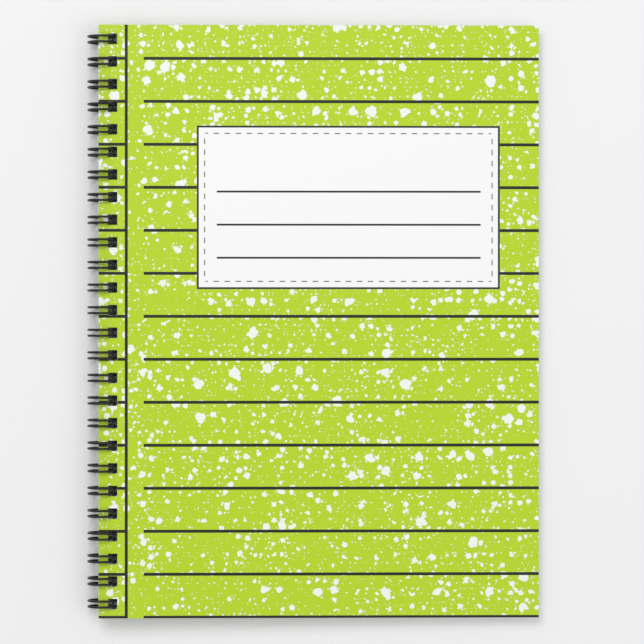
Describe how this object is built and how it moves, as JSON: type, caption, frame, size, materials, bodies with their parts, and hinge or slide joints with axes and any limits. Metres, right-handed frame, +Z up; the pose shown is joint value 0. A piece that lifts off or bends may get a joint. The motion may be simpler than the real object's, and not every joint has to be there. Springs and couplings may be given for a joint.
{
  "type": "wire-bound notebook",
  "caption": "Wire-bound notebook with speckled card covers, a block of ruled sheets and a twin-loop wire binding; both covers turn about the binding.",
  "frame": {"origin": "under the middle of the whole notebook as it lies on its back cover, on the surface that it lies on", "axes": "+X from the binding to the fore-edge, +Y from the tail to the head of the cover, +Z up through the front cover"},
  "size_m": [0.1696, 0.2222, 0.0111],
  "materials": {
    "cover": "satin laminated card, lime green with white speckle and black rules",
    "paper": "matte uncoated paper",
    "wire": "smooth black nylon coating"
  },
  "bodies": {
    "block": {"page_block": "paper", "wire_binding": "wire"},
    "front": {"front_cover": "cover"},
    "back": {"back_cover": "cover"}
  },
  "joints": [
    {"name": "front_cover_turn", "type": "hinge", "parent": "block", "child": "front", "pos_m": [-0.07922, 0, 0.00555], "axis": [0, -1, 0], "range_deg": [0, 182]},
    {"name": "back_cover_turn", "type": "hinge", "parent": "block", "child": "back", "pos_m": [-0.07922, 0, 0.00555], "axis": [0, 1, 0], "range_deg": [0, 180]}
  ]
}
